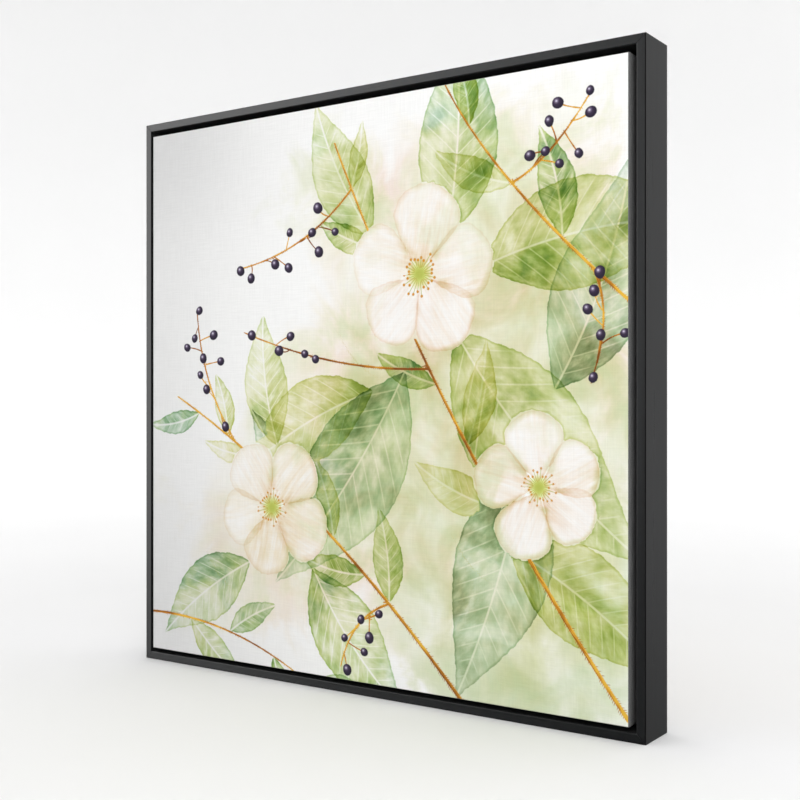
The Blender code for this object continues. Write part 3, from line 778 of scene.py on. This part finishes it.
def bright_metal(name, light, dark, roughness, scratch_size):
    """Plated steel: a metal with cloudy, slightly dull patches and fine handling marks."""
    made, shader, tree, place = new_finish(name)
    patches = add(tree, "ShaderNodeTexNoise", [place, 1 / PATCHES, 4.0])
    marks = add(tree, "ShaderNodeTexNoise", [place, 1 / scratch_size, 2.0, 0.5, 2.0, 1.5])
    tint = add(tree, "ShaderNodeValToRGB", [patches], stops=[(0.35, dark), (0.65, light)])
    dull = add(tree, "ShaderNodeMapRange", [patches, 0.35, 0.65, roughness + 0.1, roughness - 0.06])
    bump = add(tree, "ShaderNodeBump", {"Strength": 0.3, "Distance": 0.00003, "Height": marks})
    feed(shader, {"Base Color": tint, "Metallic": 1.0, "Roughness": dull, "Normal": bump})
    return made


galvanised = bright_metal("galvanised steel wire", "#c9cbcc", "#a3a6a8", 0.38, 0.0006)
staple_tree = staple_row()
maker = new_object("staple_maker", bpy.data.meshes.new("staple_maker"))
modifier = maker.modifiers.new("staples", "NODES")
modifier.node_group = staple_tree
sizes = {"Path side": 2 * (half - STAPLE_INSET), "Depth": cloth_high[1], "Height": middle_z,
         "Spacing": STAPLE_SPACING, "Crown": CROWN, "Wire": WIRE, "Leg": LEG, "Crooked": CROOKED, "Seed": 5,
         "Finish": galvanised}
for item in staple_tree.interface.items_tree:
    if item.name in sizes:
        modifier[item.identifier] = sizes[item.name]
made = maker.evaluated_get(bpy.context.evaluated_depsgraph_get())
staples = new_object("staples", bpy.data.meshes.new_from_object(made))
bpy.data.objects.remove(maker)
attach(staples, "root")

# Frame rails
# Four mitred L mouldings of fine sanded wood, stained black and given a satin lacquer, so
# that the grain hardly shows and the thin rounded lips catch a soft line of light.
STAIN = "#131415"
STAIN_LIGHT = "#1c1e1f"
# The next colour is a painted dark reflection along the rounded outer front arrises.
ARRIS_DARK_REFLECTION = "#060606"
# The rebate's colour is painted lighter than the stain, as painted light in the dark gap.
REBATE_PAINTED_LIGHT = "#262727"
DARK_REFLECTION_WIDTH = 0.0011
LIP_WIDTH = 0.009
EASE = 0.0015
REBATE_MARGIN = 0.0005
FIGURE_WIDTH = 0.006
PORE_WIDTH = 0.0005
PORE_STRETCH = 40.0
(_, front_y, _), (_, back_y, ledge_reach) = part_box("rail_bottom")
outer = cad_box[1][0] - cad_box[0][0]


def satin_black(axis):
    """Stained wood under satin lacquer: near black, smooth, with a faint drawn-out grain."""
    made, shader, tree, place = new_finish("black stained wood, satin lacquer, grain along " + axis)
    shrink = [1 / PORE_STRETCH if name == axis else 1.0 for name in "xyz"]
    grain = add(tree, "ShaderNodeMapping", {"Vector": place, "Scale": shrink})
    figure = add(tree, "ShaderNodeTexNoise", [grain, 1 / FIGURE_WIDTH, 3.0])
    pores = add(tree, "ShaderNodeTexNoise", [grain, 1 / PORE_WIDTH, 2.0])
    tint = add(tree, "ShaderNodeValToRGB", [figure], stops=[(0.3, STAIN), (0.75, STAIN_LIGHT)])
    sides = add(tree, "ShaderNodeSeparateXYZ", [place]).node.outputs

    # The outer front arrises are painted darker, a painted dark reflection on their rounding. The rebate
    # that the cloth hides in is left unlacquered and rougher, and its colour is painted lighter than the
    # stain, as painted light in the gap.
    off = sides["X"]
    if axis == "x":
        off = add(tree, "ShaderNodeMath", [sides["Z"], outer / 2], operation="SUBTRACT")
    off = add(tree, "ShaderNodeMath", [off], operation="ABSOLUTE")
    off = add(tree, "ShaderNodeMath", [outer / 2, off], operation="SUBTRACT")
    deep = add(tree, "ShaderNodeMath", [sides["Y"], front_y], operation="SUBTRACT")
    far = add(tree, "ShaderNodeMath", [off, deep], operation="MAXIMUM")
    # Painted dark reflection: a thin darker line along the outer front arrises.
    painted_dark_reflection = add(tree, "ShaderNodeMapRange", [far, 0.5 * DARK_REFLECTION_WIDTH, DARK_REFLECTION_WIDTH, 1.0, 0.0])
    tint = add(tree, "ShaderNodeMix", [painted_dark_reflection, tint, colour(ARRIS_DARK_REFLECTION)], data_type="RGBA")
    inside = add(tree, "ShaderNodeMath", [off, LIP_WIDTH - REBATE_MARGIN], operation="GREATER_THAN")
    behind = add(tree, "ShaderNodeMath", [deep, EASE], operation="GREATER_THAN")
    rebate = add(tree, "ShaderNodeMath", [inside, behind], operation="MULTIPLY")
    ahead = add(tree, "ShaderNodeMath", [deep, back_y - front_y - EASE], operation="LESS_THAN")
    rebate = add(tree, "ShaderNodeMath", [rebate, ahead], operation="MULTIPLY")
    # The rebate is painted lighter, as painted light in the gap; its rougher unlacquered finish is real.
    tint = add(tree, "ShaderNodeMix", [rebate, tint, colour(REBATE_PAINTED_LIGHT)], data_type="RGBA")
    dull = add(tree, "ShaderNodeMapRange", [figure, 0.3, 0.7, 0.27, 0.33])
    dull = add(tree, "ShaderNodeMath", [rebate, 0.62, dull], operation="MULTIPLY_ADD")
    bump = add(tree, "ShaderNodeBump", {"Strength": 0.4, "Distance": 0.00004, "Height": pores})
    feed(shader, {"Base Color": tint, "Roughness": dull, "Normal": bump})
    return made


black_along = {axis: satin_black(axis) for axis in "xz"}
for side, axis in LENGTHWAYS.items():
    dress(nodes["rail_" + side], black_along[axis])

# Filled mitres
# The rails are glued and pinned at 45 degrees, and black wax is rubbed into the joints.
# It sits a little below the lacquer, so that each mitre shows as one fine dark line.
LEDGE_THICKNESS = 0.014
FILLER_SUNK = 0.0007
FILLER_THICKNESS = 0.00028
SMEARS = 0.002
ledge_y = back_y - LEDGE_THICKNESS
joint = [(0.0, front_y, 1, 1), (LIP_WIDTH, front_y, -1, 1), (LIP_WIDTH, ledge_y, -1, 1),
         (ledge_reach, ledge_y, -1, 1), (ledge_reach, back_y, -1, -1), (0.0, back_y, 1, -1)]
joint = [(off + in_by * FILLER_SUNK, y + back_by * FILLER_SUNK) for off, y, in_by, back_by in joint]
fillers = bmesh.new()
for right in (1, -1):
    for above in (1, -1):
        film = [fillers.verts.new((right * (outer / 2 - off), y, outer / 2 + above * (outer / 2 - off)))
                for off, y in joint]
        across = Vector((right, 0.0, -above)).normalized() * FILLER_THICKNESS
        bmesh.ops.translate(fillers, vec=-across / 2, verts=film)
        thicken(fillers, [fillers.faces.new(film)], across)
mitre_filler = object_of("mitre_filler", fillers)
wax, shader, tree, place = new_finish("black filler wax")
smears = add(tree, "ShaderNodeTexNoise", [place, 1 / SMEARS, 2.0])
tint = add(tree, "ShaderNodeValToRGB", [smears], stops=[(0.3, "#0b0b0b"), (0.7, "#141414")])
dull = add(tree, "ShaderNodeMapRange", [smears, 0.3, 0.7, 0.5, 0.62])
feed(shader, {"Base Color": tint, "Roughness": dull})
dress(mitre_filler, wax)
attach(mitre_filler, "root")

# Screws
# Countersunk steel screws that hold the picture in the frame from behind, through the
# ledge and into the bars. Zinc plated: pale blue-grey metal, dulled in patches.
zinc = bright_metal("zinc plated steel", "#c6cacc", "#9da3a8", 0.34, 0.0004)
for side in LENGTHWAYS:
    for k in (1, 2):
        dress(nodes[f"screw_{side}_{k}"], zinc)

# Hanger and its nails
# A sawtooth hanger stamped from thin steel strip and nailed to the middle of the top rail.
# Brass plated: warm yellow metal, a little cloudy, with fine handling marks.
brassed = bright_metal("brass plated steel strip", "#d3ae63", "#b08b47", 0.32, 0.0005)
for name in ("hanger", "hanger_nail_left", "hanger_nail_right"):
    dress(nodes[name], brassed)

# Bumpers
# Self-adhesive rubber pads at the lower corners, which keep the frame off the wall.
# Moulded rubber: black, matte and very slightly pebbled.
PEBBLES = 0.0007
rubber, shader, tree, place = new_finish("moulded black rubber")
pebbles = add(tree, "ShaderNodeTexNoise", [place, 1 / PEBBLES, 2.0])
tint = add(tree, "ShaderNodeValToRGB", [pebbles], stops=[(0.3, "#1d1d1d"), (0.7, "#2b2b2b")])
bump = add(tree, "ShaderNodeBump", {"Strength": 0.4, "Distance": 0.0001, "Height": pebbles})
feed(shader, {"Base Color": tint, "Roughness": 0.75, "Normal": bump})
for side in ("left", "right"):
    dress(nodes["bumper_" + side], rubber)

# Studio
# A pale floor that curves up into a backdrop all round, out of reach of every view, and
# soft lights. The camera stands to the right of the picture, level, as in the photograph.
CAMERA_TURN = math.radians(34.757)
TO_THE_RIGHT, AWAY, HEIGHT = 1.1666 * outer, 1.5644 * outer, 0.4842 * outer
LENS = 53.5
camera = new_object("camera", bpy.data.cameras.new("camera"))
scene.camera = camera
camera.location = (TO_THE_RIGHT, front_y - AWAY, HEIGHT)
camera.rotation_euler = (math.radians(90), 0.0, CAMERA_TURN)
camera.data.lens = LENS
camera.data.clip_start = 0.01

SEGMENTS = 96
FLOOR_REACH = 2.6
CURVE = 1.6
BACKDROP_HEIGHT = 4.0
profile = [(radius, 0.0) for radius in (0.02, 1.5, FLOOR_REACH)]
bending = np.radians(range(6, 91, 6))
profile += [(FLOOR_REACH + CURVE * math.sin(a), CURVE - CURVE * math.cos(a)) for a in bending]
profile += [(FLOOR_REACH + CURVE, BACKDROP_HEIGHT)]
turns = np.linspace(0, 2 * math.pi, SEGMENTS, endpoint=False)
points = [(radius * math.cos(a), radius * math.sin(a), rise) for radius, rise in profile for a in turns]
faces = [tuple(range(SEGMENTS))]
for ring in range(len(profile) - 1):
    for k in range(SEGMENTS):
        a, b = ring * SEGMENTS + k, ring * SEGMENTS + (k + 1) % SEGMENTS
        faces.append((a, a + SEGMENTS, b + SEGMENTS, b))
sweep = bpy.data.meshes.new("studio_floor")
sweep.from_pydata(points, [], faces)
sweep.shade_smooth()
floor = new_object("studio_floor", sweep)
paper, shader, tree, place = new_finish("matt white paper sweep")
# The paper is painted darker near the middle, as painted shade round the picture, and lighter further out,
# where it also glows a little, as painted light on the backdrop.
mottle = add(tree, "ShaderNodeTexNoise", [place, 2.5])
near = add(tree, "ShaderNodeVectorMath", [place], out="Value", operation="LENGTH")
near = add(tree, "ShaderNodeMapRange", [near, 0.8, 2.8, 0.0, 0.9])
near = add(tree, "ShaderNodeMath", [mottle, 0.1, near], operation="MULTIPLY_ADD")
paper_tint = add(tree, "ShaderNodeValToRGB", [near], stops=[(0.0, "#e3e3e3"), (1.0, "#fcfcfc")])
painted_glow = add(tree, "ShaderNodeMath", [near, 0.035], operation="MULTIPLY")
feed(shader, {"Base Color": paper_tint, "Roughness": 0.9, "Emission Color": colour("#ffffff"),
              "Emission Strength": painted_glow})
dress(floor, paper)

# What the lacquer reflects: a window in front on the left, a dim room and a second window
# behind, a light overhead, and less of all of it towards the floor. A window is a direction,
# and its light starts and is full at the cosines of two angles from it.
FRONT_WINDOW = (-0.801, -0.561, 0.208)
BACK_WINDOW = (-0.5, 0.81, 0.3)
world = bpy.data.worlds.new("studio")
scene.world = world
world.use_nodes = True
sky = world.node_tree
heading = add(sky, "ShaderNodeTexCoord", out="Generated")
toward = add(sky, "ShaderNodeVectorMath", [heading, FRONT_WINDOW], out="Value", operation="DOT_PRODUCT")
glow = add(sky, "ShaderNodeMapRange", [toward, 0.755, 0.978])
glow = add(sky, "ShaderNodeMath", [glow, 2.2], operation="POWER")
glow = add(sky, "ShaderNodeMath", [glow, 3.3, 0.03], operation="MULTIPLY_ADD")
rise = add(sky, "ShaderNodeSeparateXYZ", [heading]).node.outputs
aside = add(sky, "ShaderNodeMapRange", [rise[1], -0.2, 0.6, 0.0, 0.40], **SOFT)
behind = add(sky, "ShaderNodeVectorMath", [heading, BACK_WINDOW], out="Value", operation="DOT_PRODUCT")
behind = add(sky, "ShaderNodeMapRange", [behind, 0.58, 0.95, 0.0, 1.3], **SOFT)
above = add(sky, "ShaderNodeMapRange", [rise[2], 0.45, 0.7, 0.0, 1.36], **SOFT)
for light in (aside, behind, above):
    glow = add(sky, "ShaderNodeMath", [glow, light], operation="MAXIMUM")
below = add(sky, "ShaderNodeMapRange", [rise[2], -0.28, -0.11, 0.45, 1.0])
glow = add(sky, "ShaderNodeMath", [glow, below], operation="MULTIPLY")
feed(sky.nodes["Background"], {"Color": colour("#ffffff"), "Strength": glow})
floor.visible_glossy = False
scene.view_settings.view_transform = "Standard"


def softbox(name, place, size, watts):
    """A square area light aimed at the middle of the picture."""
    lamp = bpy.data.lights.new(name, "AREA")
    lamp.size, lamp.energy = size, watts
    placed = new_object(name, lamp)
    placed.location = place
    aim = Vector((0.0, 0.0, outer / 2)) - Vector(place)
    placed.rotation_euler = aim.to_track_quat("-Z", "Y").to_euler()
    placed.visible_glossy = False


softbox("key", (1.1, -1.2, 1.0), 0.7, 6)
softbox("fill", (-1.8, -2.2, 1.6), 1.6, 1)
